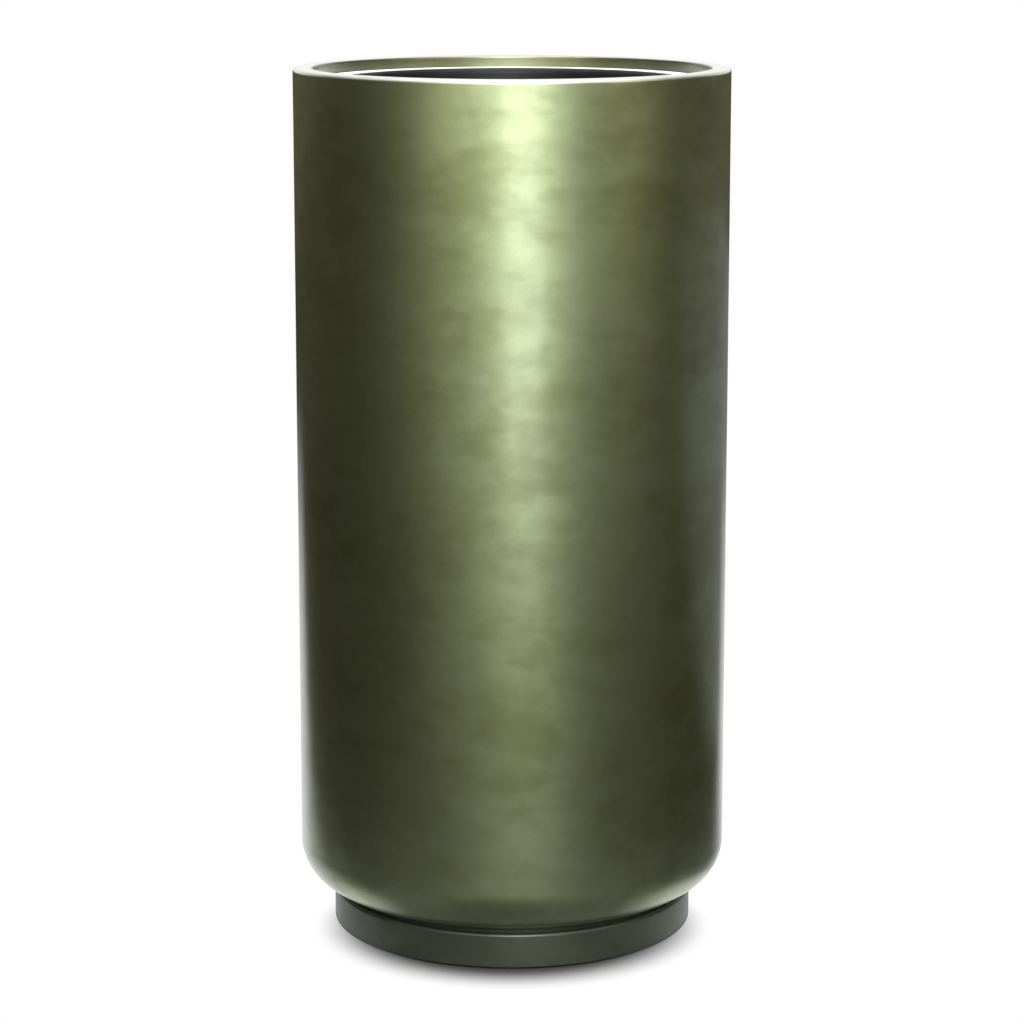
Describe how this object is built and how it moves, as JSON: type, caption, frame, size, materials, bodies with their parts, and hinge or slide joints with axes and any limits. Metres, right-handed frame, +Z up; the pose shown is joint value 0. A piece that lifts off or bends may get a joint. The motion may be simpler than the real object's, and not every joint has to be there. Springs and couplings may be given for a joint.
{
  "type": "floor planter",
  "caption": "Tall round fibreglass floor planter with a rolled rim, a lift-out planting liner on an inner ledge and a narrower foot ring.",
  "frame": {"origin": "on the ground, at the centre of the foot", "axes": "+Z up along the planter's axis; it is round, so X and Y are free, and +X runs through the first foot bolt"},
  "size_m": [0.45, 0.45, 0.905],
  "materials": {
    "green_lacquer": "moss green metallic lacquer, cloudy and hand-wiped, under a semi-gloss clear coat, on fibreglass",
    "grey_gelcoat": "satin grey gelcoat on fibreglass",
    "liner_plastic": "black polypropylene, semi-gloss",
    "black_rubber": "matte black rubber",
    "zinc_steel": "zinc-plated steel"
  },
  "bodies": {
    "shell": {"outer_shell": "green_lacquer", "ledge_ring": "grey_gelcoat", "foot_ring": "green_lacquer", "foot_pad_1": "black_rubber", "foot_pad_2": "black_rubber", "foot_pad_3": "black_rubber", "foot_pad_4": "black_rubber", "foot_pad_5": "black_rubber", "foot_pad_6": "black_rubber", "foot_bolt_1": "zinc_steel", "foot_bolt_2": "zinc_steel", "foot_bolt_3": "zinc_steel", "foot_bolt_4": "zinc_steel", "foot_bolt_5": "zinc_steel", "foot_bolt_6": "zinc_steel", "foot_nut_1": "zinc_steel", "foot_nut_2": "zinc_steel", "foot_nut_3": "zinc_steel", "foot_nut_4": "zinc_steel", "foot_nut_5": "zinc_steel", "foot_nut_6": "zinc_steel"},
    "liner": {"planting_liner": "liner_plastic"},
    "plug": {"drain_plug": "black_rubber"}
  },
  "joints": [
    {"name": "liner_lift", "type": "slide", "parent": "shell", "child": "liner", "axis": [0, 0, 1], "range_m": [0, 0.33]},
    {"name": "drain_plug_pull", "type": "slide", "parent": "shell", "child": "plug", "axis": [0, 0, 1], "range_m": [0, 0.03]}
  ]
}
